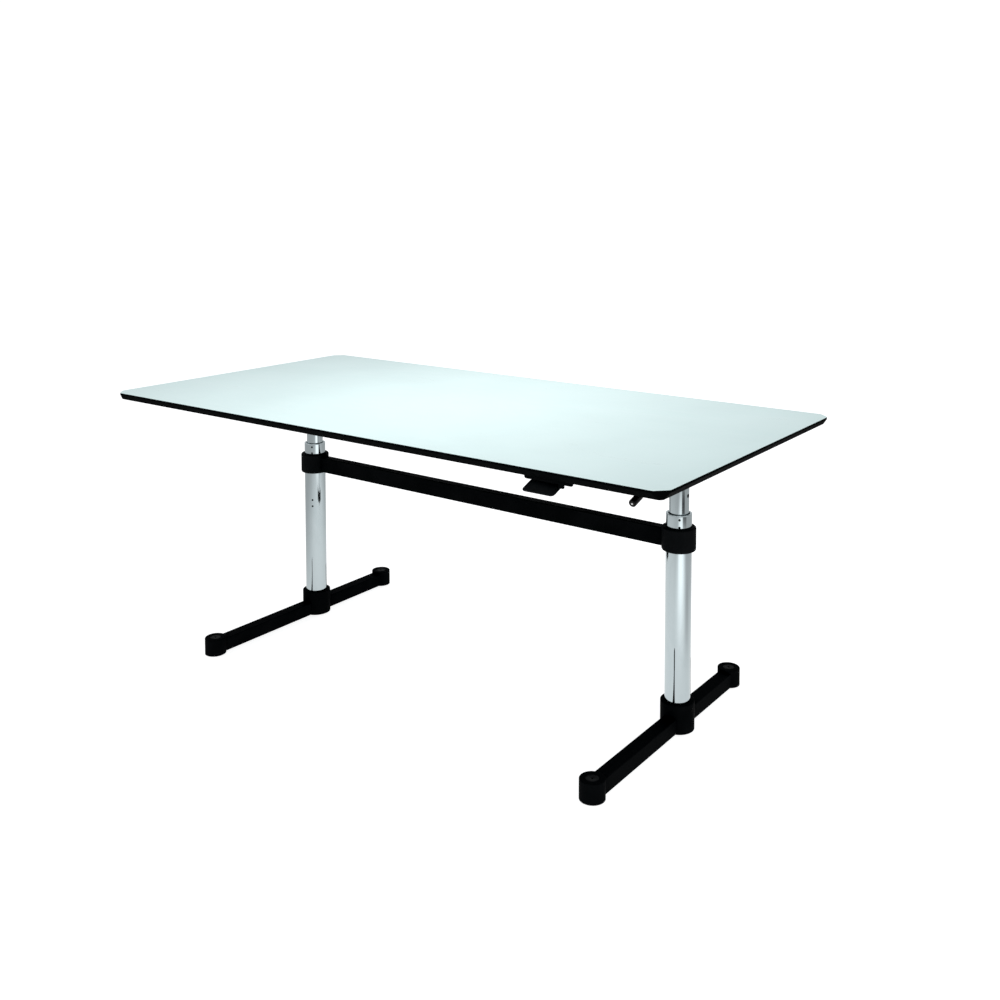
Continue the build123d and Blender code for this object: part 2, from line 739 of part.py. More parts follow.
with BuildPart() as cable_gland:
    tab_front = bracket_rear - bracket_sheet
    gland_start = tab_front - gland_flats_length
    gland_end = bracket_rear + gland_tail
    with BuildSketch(Plane.XZ.offset(-bracket_rear)):
        with Locations((gland_x, paddle_pin_z)):
            RegularPolygon(gland_flats, 6)
    extrude(amount=-gland_flats_length)
    with Locations((gland_x, (gland_start + gland_end) / 2, paddle_pin_z)):
        Cylinder(gland_radius, gland_end - gland_start, rotation=(90, 0, 0))
        Cylinder(gland_bore, gland_end - gland_start + 2, rotation=(90, 0, 0), mode=Mode.SUBTRACT)
save(cable_gland, "cable_gland")

# ---------------------------------------------------------------- clamping lever

lever_x = column_x(1) + lever_offset


def lever_plane(y, z, droop):
    """A plane square to a stretch of the lever that starts at (y, z) and slopes down forward."""
    angle = radians(droop)
    return Plane(origin=(lever_x, y, z), x_dir=(1, 0, 0), z_dir=(0, -cos(angle), -sin(angle)))


rod_plane = lever_plane(column_y, pivot_z, lever_droop)
bend = rod_plane.offset(lever_bend).origin
grip_plane = lever_plane(bend.Y, bend.Z, grip_droop)

with BuildPart() as lever_hub:
    hub_start = column_x(1) + lever_hub_start
    hub_end = column_x(1) + lever_hub_end
    crosswise(lever_hub_radius, hub_start, hub_end, column_y, pivot_z)
    fillet(lever_hub.edges().filter_by(GeomType.CIRCLE), 2)
    bore_end = hub_end - lever_hub_wall
    crosswise(bolt_radius + running_gap, hub_start, bore_end, column_y, pivot_z, Mode.SUBTRACT)
    with BuildSketch(rod_plane.offset(lever_rod_start)):
        Circle(lever_rod_radius)
    extrude(amount=lever_hub_radius, mode=Mode.SUBTRACT)
save(lever_hub, "lever_hub")

with BuildPart() as lever_rod:
    with BuildLine() as rod_path:
        rod_start = rod_plane.offset(lever_rod_start).origin
        rod_end = grip_plane.offset(grip_end - lever_tip_length).origin
        FilletPolyline(rod_start, bend, rod_end, radius=lever_bend_radius)
    with BuildSketch(rod_plane.offset(lever_rod_start)):
        Circle(lever_rod_radius)
    sweep(path=rod_path.line)
    with BuildSketch(grip_plane.offset(grip_end - lever_tip_length)):
        Circle(lever_tip_radius)
    extrude(amount=lever_tip_length + lever_tip_proud)
    chamfer(lever_rod.edges().group_by(Axis.Y)[0], 0.6)
save(lever_rod, "lever_rod")

with BuildPart() as lever_grip:
    with BuildSketch(grip_plane.offset(grip_start)):
        Circle(grip_radius)
    extrude(amount=grip_end - grip_start)
    fillet(lever_grip.edges().filter_by(GeomType.CIRCLE), 1.5)
    with BuildSketch(grip_plane.offset(grip_start)):
        Circle(lever_rod_radius)
    extrude(amount=grip_end - grip_start - lever_tip_length, mode=Mode.SUBTRACT)
    with BuildSketch(grip_plane.offset(grip_start)):
        Circle(lever_tip_radius)
    extrude(amount=grip_end - grip_start, mode=Mode.SUBTRACT)
save(lever_grip, "lever_grip")
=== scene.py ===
import json
import math

import bmesh
import bpy
from mathutils import Matrix, Vector


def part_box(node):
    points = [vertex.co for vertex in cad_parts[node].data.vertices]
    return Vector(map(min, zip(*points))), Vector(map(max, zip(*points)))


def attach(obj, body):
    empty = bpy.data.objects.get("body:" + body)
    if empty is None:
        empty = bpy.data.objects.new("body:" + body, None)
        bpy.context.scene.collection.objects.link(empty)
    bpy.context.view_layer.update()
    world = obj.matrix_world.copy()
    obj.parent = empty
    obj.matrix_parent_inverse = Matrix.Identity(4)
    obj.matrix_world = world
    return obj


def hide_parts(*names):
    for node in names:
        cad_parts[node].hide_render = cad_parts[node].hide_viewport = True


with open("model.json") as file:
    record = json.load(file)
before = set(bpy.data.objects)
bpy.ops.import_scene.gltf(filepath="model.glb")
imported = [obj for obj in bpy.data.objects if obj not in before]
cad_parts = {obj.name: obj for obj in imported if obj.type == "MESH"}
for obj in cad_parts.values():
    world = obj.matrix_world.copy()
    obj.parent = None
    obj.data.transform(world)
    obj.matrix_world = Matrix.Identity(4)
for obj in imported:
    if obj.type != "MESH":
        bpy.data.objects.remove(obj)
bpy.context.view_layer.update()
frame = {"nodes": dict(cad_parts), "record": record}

scene = bpy.context.scene
nodes = frame["nodes"]
slot_of = {row["node"]: row["material_slot"] for row in frame["record"]["subparts"]}


# ---------------------------------------------------------------- finishes

def math_node(tree, operation, a, b):
    """The result of a sum on two values, each a number or an output socket."""
    node = tree.nodes.new("ShaderNodeMath")
    node.operation = operation
    for socket, value in zip(node.inputs, (a, b)):
        if isinstance(value, (int, float)):
            socket.default_value = value
        else:
            tree.links.new(value, socket)
    return node.outputs["Value"]


class Finish:
    """A Principled material built up from procedural layers in the piece's own coordinates, in metres."""

    def __init__(self, name, metallic=0.0, specular=0.5, coat=0.0, coat_roughness=0.1):
        self.material = bpy.data.materials.new(name)
        self.material.use_nodes = True
        self.tree = self.material.node_tree
        self.shader = self.tree.nodes["Principled BSDF"]
        self.shader.inputs["Metallic"].default_value = metallic
        self.shader.inputs["Specular IOR Level"].default_value = specular
        self.shader.inputs["IOR"].default_value = 1.5
        self.shader.inputs["Coat Weight"].default_value = coat
        self.shader.inputs["Coat Roughness"].default_value = coat_roughness
        self.place = self.tree.nodes.new("ShaderNodeTexCoord")
        self.height = None

    def link(self, output, socket):
        self.tree.links.new(output, socket)

    def stretched(self, stretch):
        mapping = self.tree.nodes.new("ShaderNodeMapping")
        mapping.inputs["Scale"].default_value = stretch
        self.link(self.place.outputs["Object"], mapping.inputs["Vector"])
        return mapping.outputs["Vector"]

    def noise(self, scale, detail=2.0, roughness=0.5, distortion=0.0, stretch=(1, 1, 1)):
        node = self.tree.nodes.new("ShaderNodeTexNoise")
        node.inputs["Scale"].default_value = scale
        node.inputs["Detail"].default_value = detail
        node.inputs["Roughness"].default_value = roughness
        node.inputs["Distortion"].default_value = distortion
        self.link(self.stretched(stretch), node.inputs["Vector"])
        return node.outputs["Fac"]

    def cells(self, scale, stretch=(1, 1, 1)):
        node = self.tree.nodes.new("ShaderNodeTexVoronoi")
        node.inputs["Scale"].default_value = scale
        self.link(self.stretched(stretch), node.inputs["Vector"])
        return node

    def spread(self, value, low, high, start=0.3, end=0.7):
        node = self.tree.nodes.new("ShaderNodeMapRange")
        node.inputs["From Min"].default_value = start
        node.inputs["From Max"].default_value = end
        node.inputs["To Min"].default_value = low
        node.inputs["To Max"].default_value = high
        self.link(value, node.inputs["Value"])
        return node.outputs["Result"]

    def math(self, operation, a, b):
        return math_node(self.tree, operation, a, b)

    def upward(self):
        """1 on faces that look up in the piece's own frame, 0 on its sides."""
        split = self.tree.nodes.new("ShaderNodeSeparateXYZ")
        self.link(self.place.outputs["Normal"], split.inputs["Vector"])
        return self.spread(split.outputs["Z"], 0.0, 1.0, 0.3, 0.95)

    def mix(self, factor, a, b):
        node = self.tree.nodes.new("ShaderNodeMix")
        node.data_type = "RGBA"
        self.link(factor, node.inputs["Factor"])
        for socket, value in ((node.inputs["A"], a), (node.inputs["B"], b)):
            if isinstance(value, tuple):
                socket.default_value = (*value, 1.0)
            else:
                self.link(value, socket)
        return node.outputs["Result"]

    def colour(self, output):
        self.link(output, self.shader.inputs["Base Color"])

    def roughness(self, output):
        self.link(output, self.shader.inputs["Roughness"])

    def ease(self, radius):
        """Rounds sharp arrises over, by a radius in metres."""
        node = self.tree.nodes.new("ShaderNodeBevel")
        node.samples = 6
        node.inputs["Radius"].default_value = radius
        self.height = node.outputs["Normal"]
        self.link(self.height, self.shader.inputs["Normal"])

    def bump(self, value, distance, strength):
        node = self.tree.nodes.new("ShaderNodeBump")
        node.inputs["Strength"].default_value = strength
        node.inputs["Distance"].default_value = distance
        self.link(value, node.inputs["Height"])
        if self.height is not None:
            self.link(self.height, node.inputs["Normal"])
        self.height = node.outputs["Normal"]
        self.link(self.height, self.shader.inputs["Normal"])


# colours used by more than one finish
BLACK = (0.0033, 0.0036, 0.0038)
SOFT_BLACK = (0.0048, 0.0051, 0.0054)
DUST = (0.006, 0.0064, 0.0067)


def white_laminate():
    """Icy high-pressure laminate: satin, with a fine pressed grain and faint wiping marks."""
    f = Finish("white_laminate", specular=0.35)
    cloud = f.spread(f.noise(2.6, 3, 0.55, 0.4), 0.0, 1.0, 0.35, 0.65)
    base = f.mix(cloud, (0.588, 0.722, 0.718), (0.618, 0.754, 0.75))
    speck = f.spread(f.noise(1500, 1.5, 0.6), 0.0, 0.55, 0.62, 0.8)
    f.colour(f.mix(speck, base, (0.53, 0.655, 0.655)))
    wiped = f.spread(f.noise(4.5, 4, 0.6, 1.2, (1, 2.6, 1)), 0.29, 0.4)
    fine = f.spread(f.noise(700, 2), -0.03, 0.03)
    f.roughness(f.math("ADD", wiped, fine))
    f.bump(f.noise(1100, 3, 0.6), 0.00012, 0.35)
    f.bump(f.noise(130, 2, 0.5), 0.0002, 0.12)
    return f


def black_edge():
    """Solid black phenolic edge, milled and waxed: fine tool marks, a few paler rubs."""
    f = Finish("black_edge", specular=0.006)
    f.ease(0.0009)
    rub = f.spread(f.noise(22, 4, 0.65, 0.8), 0.0, 1.0, 0.6, 0.78)
    f.colour(f.mix(rub, BLACK, (0.006, 0.0065, 0.007)))
    f.roughness(f.spread(f.noise(60, 3, 0.6), 0.52, 0.66))
    f.bump(f.noise(1400, 2, 0.6), 0.00012, 0.5)
    f.bump(f.noise(260, 3, 0.5, 0, (1, 1, 9)), 0.00012, 0.4)
    return f


def balancing_sheet():
    """Dark phenolic sheet under the worktop: satin, pressed grain, faint scuffs."""
    f = Finish("balancing_sheet", specular=0.1)
    cloud = f.spread(f.noise(5, 4, 0.6, 0.5), 0.0, 1.0, 0.35, 0.65)
    base = f.mix(cloud, (0.0105, 0.0112, 0.0118), (0.0145, 0.0152, 0.0158))
    scuff = f.spread(f.noise(34, 6, 0.7, 1.8, (1, 0.3, 1)), 0.0, 0.6, 0.64, 0.76)
    f.colour(f.mix(scuff, base, (0.028, 0.029, 0.03)))
    fine = f.spread(f.noise(600, 2), -0.04, 0.04)
    f.roughness(f.math("ADD", f.spread(cloud, 0.5, 0.62, 0, 1), fine))
    f.bump(f.noise(1100, 3, 0.6), 0.00015, 0.4)
    return f


def powder_coat(name, level, specular):
    """Fine-texture powder coat: orange peel, sandy grain, dust on what looks up, small rubbed spots."""
    dark, light, dust = (tuple(level * channel for channel in tone) for tone in (BLACK, SOFT_BLACK, DUST))
    f = Finish(name, specular=specular)
    f.ease(0.0006)
    patch = f.spread(f.noise(9, 4, 0.6, 0.3), 0.0, 1.0, 0.4, 0.7)
    base = f.mix(patch, dark, light)
    settled = f.math("MULTIPLY", f.upward(), f.spread(f.noise(70, 5, 0.7), 0.1, 0.45, 0.35, 0.7))
    dusty = f.mix(settled, base, dust)
    rubbed = f.spread(f.noise(38, 6, 0.75, 1.5, (1, 0.35, 1)), 0.0, 0.5, 0.68, 0.78)
    f.colour(f.mix(rubbed, dusty, (0.011, 0.0115, 0.012)))
    sand = f.noise(850, 2, 0.6)
    f.roughness(f.math("ADD", f.spread(patch, 0.54, 0.68, 0, 1), f.spread(sand, -0.05, 0.05)))
    f.bump(sand, 0.0002, 0.55)
    f.bump(f.noise(210, 2, 0.5), 0.0003, 0.3)
    return f


def chrome():
    """Polished chrome plate over drawn tube: draw lines along it, wiping haze, a few dull spots."""
    f = Finish("chrome", metallic=1.0)
    draw = f.noise(420, 3, 0.6, 0, (1, 1, 0.02))
    haze = f.spread(f.noise(16, 5, 0.65, 1.0, (1, 1, 0.4)), 0.0, 1.0, 0.42, 0.75)
    f.colour(f.mix(haze, (0.50, 0.565, 0.585), (0.46, 0.525, 0.545)))
    spots = f.spread(f.noise(160, 4, 0.6), 0.0, 0.1, 0.66, 0.78)
    fog = f.math("ADD", f.spread(haze, 0.045, 0.1, 0, 1), f.spread(draw, -0.012, 0.012))
    f.roughness(f.math("ADD", fog, spots))
    f.bump(draw, 0.00002, 0.25)
    f.bump(f.noise(24, 2, 0.5, 0, (1, 1, 0.25)), 0.00015, 0.08)
    return f


def cast_aluminium():
    """Blasted die casting: dense small pits and a dull grey skin."""
    f = Finish("cast_aluminium", metallic=0.9)
    tone = f.spread(f.noise(30, 4, 0.6), 0.0, 1.0)
    f.colour(f.mix(tone, (0.36, 0.37, 0.38), (0.47, 0.48, 0.49)))
    f.roughness(f.spread(f.noise(90, 4, 0.6), 0.4, 0.58))
    pits = f.cells(650)
    f.bump(pits.outputs["Distance"], 0.0003, 0.4)
    f.bump(f.noise(1500, 2, 0.6), 0.0001, 0.5)
    return f


def zinc_steel():
    """Bright zinc plate: bluish passivation clouds, machining lines."""
    f = Finish("zinc_steel", metallic=1.0)
    cloud = f.spread(f.noise(55, 4, 0.6, 0.6), 0.0, 1.0)
    base = f.mix(cloud, (0.56, 0.59, 0.63), (0.64, 0.63, 0.58))
    dull = f.spread(f.noise(240, 4, 0.7), 0.0, 0.6, 0.6, 0.75)
    f.colour(f.mix(dull, base, (0.36, 0.36, 0.36)))
    f.roughness(f.math("ADD", f.spread(cloud, 0.2, 0.32, 0, 1), f.spread(f.noise(900, 2), -0.04, 0.04)))
    f.bump(f.noise(1300, 2, 0.6, 0, (1, 1, 0.2)), 0.00008, 0.4)
    return f


def black_oxide_steel():
    """Blackened and oiled screws: soft sheen, browner worn spots."""
    f = Finish("black_oxide_steel", metallic=0.1, specular=0.05)
    worn = f.spread(f.noise(300, 4, 0.6), 0.0, 1.0, 0.6, 0.75)
    f.colour(f.mix(worn, (0.004, 0.004, 0.0042), (0.014, 0.0135, 0.013)))
    f.roughness(f.spread(f.noise(500, 3, 0.6), 0.28, 0.45))
    f.bump(f.noise(1500, 2, 0.6), 0.00008, 0.5)
    return f


def moulded(name, dark, light, rough_low, rough_high, specular=0.3):
    """Spark-eroded mould texture on plastic, with a little handling polish."""
    f = Finish(name, specular=specular)
    tone = f.spread(f.noise(40, 3, 0.6), 0.0, 1.0)
    f.colour(f.mix(tone, dark, light))
    polish = f.spread(f.noise(25, 4, 0.6, 0.5), rough_low, rough_high)
    grain = f.cells(1100)
    f.roughness(f.math("ADD", polish, f.spread(grain.outputs["Distance"], -0.04, 0.04, 0, 0.8)))
    f.bump(grain.outputs["Distance"], 0.00022, 0.45)
    f.bump(f.noise(350, 2, 0.6), 0.0002, 0.2)
    return f


def board():
    """Raw chipboard: flattened chips of several browns."""
    f = Finish("board", specular=0.2)
    chips = f.cells(260, stretch=(1, 1, 2.4))
    tone = f.tree.nodes.new("ShaderNodeSeparateColor")
    f.link(chips.outputs["Color"], tone.inputs["Color"])
    base = f.mix(tone.outputs["Red"], (0.30, 0.20, 0.11), (0.56, 0.42, 0.26))
    f.colour(f.mix(f.spread(f.noise(800, 3), 0.0, 0.5), base, (0.2, 0.13, 0.07)))
    f.roughness(f.spread(f.noise(300, 3), 0.7, 0.9))
    f.bump(chips.outputs["Distance"], 0.0005, 0.5)
    return f


def bronze():
    """Sintered bronze: porous, dark oiled pores."""
    f = Finish("bronze", metallic=1.0)
    pores = f.spread(f.cells(1400).outputs["Distance"], 0.0, 1.0, 0.1, 0.35)
    f.colour(f.mix(pores, (0.2, 0.12, 0.06), (0.58, 0.40, 0.21)))
    f.roughness(f.spread(f.noise(300, 3, 0.6), 0.25, 0.42))
    f.bump(pores, 0.0001, 0.4)
    return f


def spring_cylinder():
    """Lacquered tube of a gas spring: smooth black, light rubbing along its length."""
    f = Finish("spring_cylinder", specular=0.5, coat=0.3, coat_roughness=0.15)
    rub = f.spread(f.noise(260, 4, 0.6, 0, (1, 1, 0.05)), 0.0, 1.0, 0.6, 0.8)
    f.colour(f.mix(rub, (0.012, 0.012, 0.013), (0.03, 0.03, 0.031)))
    f.roughness(f.spread(f.noise(50, 3, 0.6), 0.22, 0.36))
    f.bump(f.noise(500, 2, 0.6), 0.00008, 0.3)
    return f


def polished_rod():
    """Ground and hard-chromed rod: fine rings round the rod."""
    f = Finish("polished_rod", metallic=1.0)
    rings = f.noise(1600, 2, 0.6, 0, (0.1, 0.1, 1))
    f.colour(f.mix(f.spread(rings, 0.0, 1.0), (0.56, 0.57, 0.58), (0.64, 0.65, 0.66)))
    f.roughness(f.spread(f.noise(90, 3, 0.6), 0.08, 0.16))
    f.bump(rings, 0.00002, 0.3)
    return f


finishes = {
    "white_laminate": white_laminate(),
    "black_edge": black_edge(),
    "board": board(),
    "black_powder_coat": powder_coat("black_powder_coat", 1.2, 0.01),
    "chrome": chrome(),
    "cast_aluminium": cast_aluminium(),
    "zinc_steel": zinc_steel(),
    "black_oxide_steel": black_oxide_steel(),
    "black_plastic": moulded(
        "black_plastic", (0.0035, 0.0036, 0.0038), (0.006, 0.0062, 0.0065), 0.4, 0.54, 0.12),
    "grey_plastic": moulded(
        "grey_plastic", (0.006, 0.0064, 0.0068), (0.0088, 0.0092, 0.0096), 0.45, 0.6, 0.06),
    "guide_plastic": moulded("guide_plastic", (0.014, 0.014, 0.015), (0.024, 0.024, 0.026), 0.3, 0.42),
    "bronze": bronze(),
    "spring_cylinder": spring_cylinder(),
    "polished_rod": polished_rod(),
}

# one paint in lit and shaded copies, painted light and shade: its level and shine set for each group of
# pieces by the photograph's brightness, the feet's copy less shiny as painted shade, the collars' and the
# release paddle's copies lighter as painted light the photograph doesn't show the hidden pieces, which are
# painted lighter so that the underside can be read
foot_shaded_coat = powder_coat("foot_shaded_coat", 1.25, 0.004)
collar_lit_coat = powder_coat("collar_lit_coat", 1.7, 0.012)
hidden_lit_coat = powder_coat("hidden_lit_coat", 1.8, 0.03)
paddle_lit_coat = powder_coat("paddle_lit_coat", 3.4, 0.06)
special = {
    "foot_left": foot_shaded_coat,
    "foot_right": foot_shaded_coat,
    "collar_left": collar_lit_coat,
    "collar_right": collar_lit_coat,
    "arm_left": hidden_lit_coat,
    "arm_right": hidden_lit_coat,
    "arm_stiffener": hidden_lit_coat,
    "release_paddle": paddle_lit_coat,
    "worktop_backing": balancing_sheet(),
}

for name, node in nodes.items():
    finish = special.get(name, finishes[slot_of[name]])
    node.data.materials.clear()
    node.data.materials.append(finish.material)


# ---------------------------------------------------------------- turned pieces

MM = 0.001
CREASE = math.radians(32)


def middle(node):
    low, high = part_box(node)
    return (low + high) / 2


def solids(node):
    """The middle of each separate solid of a CAD node."""
    shape = bmesh.new()
    shape.from_mesh(nodes[node].data)
    bmesh.ops.remove_doubles(shape, verts=shape.verts, dist=1e-6)
    for vert in shape.verts:
        vert.tag = False
    found = []
    for first in shape.verts:
        if first.tag:
            continue
        first.tag = True
        waiting, group = [first], []
        while waiting:
            vert = waiting.pop()
            group.append(vert.co.copy())
            for edge in vert.link_edges:
                other = edge.other_vert(vert)
                if not other.tag:
                    other.tag = True
                    waiting.append(other)
        low = Vector([min(co[i] for co in group) for i in range(3)])
        high = Vector([max(co[i] for co in group) for i in range(3)])
        found.append((low + high) / 2)
    shape.free()
    return found


def reach(kind, radius, turn):
    """Distance from the axis of a round, six-sided or star-shaped ring, at an angle."""
    if kind == "hex":
        return radius / math.cos(turn % (math.pi / 3) - math.pi / 6)
    if kind == "star":
        return radius * (1 + 0.13 * math.cos(6 * turn))
    return radius


def turned(name, profile, places, body, slot, replaced, segments=48):
    """Pieces of revolution, one at each place, which is an origin in metres and an axis.
    A row of the profile is a radius and a distance along the axis, in millimetres, and its kind if it
    isn't round. A profile that doesn't start on the axis closes on itself."""
    shape = bmesh.new()
    for origin, axis in places:
        turn_to = Vector(axis).to_track_quat("Z", "Y").to_matrix().to_4x4()
        turn_to.translation = Vector(origin)
        rings = []
        for radius, along, *kind in profile:
            if radius == 0:
                rings.append([shape.verts.new(turn_to @ Vector((0, 0, along * MM)))])
                continue
            ring = []
            for step in range(segments):
                turn = 2 * math.pi * step / segments
                away = reach(kind[0] if kind else "round", radius, turn) * MM
                point = Vector((away * math.cos(turn), away * math.sin(turn), along * MM))
                ring.append(shape.verts.new(turn_to @ point))
            rings.append(ring)
        if len(rings[0]) > 1:
            rings.append(rings[0])
        for lower, upper in zip(rings, rings[1:]):
            for step in range(segments):
                after = (step + 1) % segments
                corners = [lower[0]] if len(lower) == 1 else [lower[step], lower[after]]
                corners += [upper[0]] if len(upper) == 1 else [upper[after], upper[step]]
                shape.faces.new(corners)
    bmesh.ops.recalc_face_normals(shape, faces=shape.faces)
    mesh = bpy.data.meshes.new(name)
    shape.to_mesh(mesh)
    shape.free()
    mesh.shade_smooth()
    mesh.set_sharp_from_angle(angle=CREASE)
    mesh.materials.append(finishes[slot].material)
    piece = bpy.data.objects.new(name, mesh)
    scene.collection.objects.link(piece)
    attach(piece, body)
    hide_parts(*replaced)


def radial_places(node):
    """A place for each solid of a node that lies square to a column's axis."""
    places = []
    for point in solids(node):
        column = middle("outer_tube_left" if point.x < 0 else "outer_tube_right")
        axis = Vector((point.x - column.x, point.y - column.y, 0)).normalized()
        places.append(((column.x, column.y, point.z), axis))
    return places


def set_screw(radius, inner, outer, socket, depth):
    """A set screw's profile, with a hexagon socket in its outer end."""
    chamfer = 0.14 * radius
    return [
        (0, inner), (radius - chamfer, inner), (radius, inner + chamfer), (radius, outer - chamfer),
        (radius - chamfer, outer), (1.15 * socket, outer, "hex"), (socket, outer - 0.15 * socket, "hex"),
        (socket, outer - depth, "hex"), (0, outer - depth - 0.5 * socket),
    ]


def wood_screw(radius, length, head, height, recess):
    """A pan-head screw's profile, driven along -axis, with a star recess. The seat is at 0."""
    return [
        (0, -length), (0.6 * radius, -length + radius), (radius, -length + 2 * radius), (radius, 0),
        (head, 0), (head, 0.35 * height), (0.93 * head, 0.68 * height), (0.78 * head, 0.9 * height),
        (0.6 * head, height), (1.1 * recess, height, "star"), (recess, height - 0.3, "star"),
        (0.9 * recess, 0.35 * height, "star"), (0, 0.2 * height),
    ]


# radius, distance of the inner and the outer end from the column's axis, socket's radius and depth, in mm
SET_SCREWS = (
    ("guide_set_screws", "guide_screws", "base", (2.95, 28.1, 32.0, 1.6, 2.4)),
    ("head_set_screws", "head_screws", "lift", (4.95, 15.2, 24.3, 2.9, 4.5)),
    ("clamp_set_screws", "clamp_grub_screws", "base", (3.95, 33.1, 42.3, 2.0, 3.0)),
)
for name, node, body, sizes in SET_SCREWS:
    turned(name, set_screw(*sizes), radial_places(node), body, "black_oxide_steel", [node])

BOLT_SHANK = 3.95
BOLT_HEAD = 6.5
BOLT_SOCKET = 2.5
bolt_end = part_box("crossbar_bolts")[1].y / MM
bolt_seat = bolt_end - 4
turned(
    "crossbar_button_bolts",
    [(0, bolt_end - 16), (3.5, bolt_end - 16), (BOLT_SHANK, bolt_end - 15.4), (BOLT_SHANK, bolt_seat),
     (BOLT_HEAD, bolt_seat), (BOLT_HEAD, bolt_end - 3), (6.2, bolt_end - 1.9), (5.5, bolt_end - 0.9),
     (4.6, bolt_end - 0.25), (3.6, bolt_end), (2.75, bolt_end, "hex"), (BOLT_SOCKET, bolt_end - 0.3, "hex"),
     (BOLT_SOCKET, bolt_end - 2.6, "hex"), (0, bolt_end - 3.6)],
    [((point.x, 0, point.z), (0, 1, 0)) for point in solids("crossbar_bolts")],
    "base", "black_oxide_steel", ["crossbar_bolts"],
)

# shank's radius, head's radius and head's height, in mm
WOOD_SCREWS = (
    ("arm_pan_screws", "arm_screws", 2.45, 5.0, 2.5),
    ("bracket_pan_screws", "bracket_screws", 1.95, 4.5, 2.2),
)
STAR_RECESS = 1.9
for name, node, shank, head, height in WOOD_SCREWS:
    low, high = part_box(node)
    seat = low.z + height * MM
    length = (high.z - seat) / MM - 0.1
    turned(
        name, wood_screw(shank, length, head, height, STAR_RECESS),
        [((point.x, point.y, seat), (0, 0, -1)) for point in solids(node)],
        "worktop", "zinc_steel", [node], 36,
    )

CAP_RADIUS = 15.45
KEY_HOLE = 2.5
PAD_RADIUS = 22
STUD_HOLE = 5.1
for corner in ("front_left", "front_right", "rear_left", "rear_right"):
    cap = middle(f"foot_cap_{corner}")
    bottom, top = (edge.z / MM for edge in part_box(f"foot_cap_{corner}"))
    turned(
        f"foot_cap_{corner}_moulded",
        [(KEY_HOLE, bottom), (CAP_RADIUS, bottom), (CAP_RADIUS, top - 0.5), (15.0, top), (13.4, top),
         (12.9, top - 0.7), (12.3, top - 0.7), (11.8, top - 0.1), (6.0, top - 0.35), (4.4, top - 0.6),
         (3.4, top - 0.75), (2.9, top - 1.1), (KEY_HOLE, top - 1.5)],
        [((cap.x, cap.y, 0), (0, 0, 1))], "base", "grey_plastic", [f"foot_cap_{corner}"], 72,
    )
    pad = middle(f"leveller_pad_{corner}")
    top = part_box(f"leveller_pad_{corner}")[1].z / MM
    turned(
        f"leveller_pad_{corner}_moulded",
        [(0, 0), (20.6, 0), (21.5, 0.25), (PAD_RADIUS, 0.8), (PAD_RADIUS, top - 0.6), (21.5, top),
         (15, top), (14.4, top - 0.5), (8.8, top - 0.5), (8.2, top), (STUD_HOLE, top), (STUD_HOLE, 1.5),
         (0, 1.5)],
        [((pad.x, pad.y, 0), (0, 0, 1))],
        f"leveller_{corner}", "black_plastic", [f"leveller_pad_{corner}"], 72,
    )

# the rings' bore is a millimetre wider in radius than the CAD's
RING_BORE = 27.2
RING_OUTSIDE = 32.5
ring_low, ring_high = (edge.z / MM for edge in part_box("rim_rings"))
turned(
    "rim_rings_turned",
    [(RING_BORE, ring_low), (RING_OUTSIDE, ring_low), (RING_OUTSIDE, ring_high - 0.6),
     (32.35, ring_high - 0.2), (31.95, ring_high), (28.3, ring_high), (27.7, ring_high - 0.3),
     (RING_BORE, ring_high - 0.9)],
    [((middle(tube).x, middle(tube).y, 0), (0, 0, 1)) for tube in ("outer_tube_left", "outer_tube_right")],
    "base", "chrome", ["rim_rings"], 128,
)

# the lever's grip lies on a line through these two points of the CAD, in metres
GRIP_START = Vector((0.704, -0.12943, 0.69311))
GRIP_END = Vector((0.704, -0.235, 0.65881))
GRIP_RADIUS = 9
GRIP_BORE = 4.5
END_HOLE = 2.65
grip_length = (GRIP_END - GRIP_START).length / MM
turned(
    "lever_grip_moulded",
    [(GRIP_BORE, 0), (7.4, 0), (8.5, 0.5), (GRIP_RADIUS, 1.6), (GRIP_RADIUS, 9), (8.7, 9.4), (8.7, 10.6),
     (GRIP_RADIUS, 11), (GRIP_RADIUS, grip_length - 3.2), (8.8, grip_length - 1.7),
     (8.2, grip_length - 0.6), (7.2, grip_length - 0.1), (6.2, grip_length), (END_HOLE, grip_length),
     (END_HOLE, grip_length - 8), (GRIP_BORE, grip_length - 8)],
    [(GRIP_START, GRIP_END - GRIP_START)], "clamp_lever", "black_plastic", ["lever_grip"], 64,
)

HUB_RADIUS = 15
HUB_BORE = 6.1
near, far = (edge.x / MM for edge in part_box("lever_hub"))
hub_middle = middle("lever_hub")
turned(
    "lever_hub_turned",
    [(0, far - 3), (HUB_BORE, far - 3), (HUB_BORE, near), (13.4, near), (14.6, near + 0.6),
     (HUB_RADIUS, near + 1.8), (HUB_RADIUS, near + 4), (14.3, near + 4.6), (14.3, near + 5.6),
     (HUB_RADIUS, near + 6.2), (HUB_RADIUS, far - 3.4), (14.5, far - 1.6), (13.2, far - 0.4), (11.6, far),
     (5, far), (4.3, far - 0.6), (0, far - 0.6)],
    [((0, hub_middle.y, hub_middle.z), (1, 0, 0))], "clamp_lever", "black_oxide_steel", ["lever_hub"], 64,
)


# ---------------------------------------------------------------- studio

FLOOR_GLOW = 0.84
ROOM_LIGHT = 0.68
BACKDROP_LIGHT = 1.05

# the reflector's even light, then rows of a centre and a radius in metres with a strength or a depth
CARD_LIGHT = 0.56
LIGHT_POOLS = (((0.25, -0.15), 2.6, 0.52), ((1.75, -0.82), 1.3, 1.2))
DARK_FLAGS = (((2.52, -0.57), 0.66, 1.0), ((2.64, -0.02), 0.54, 0.9), ((1.42, 0.36), 0.5, 0.2))

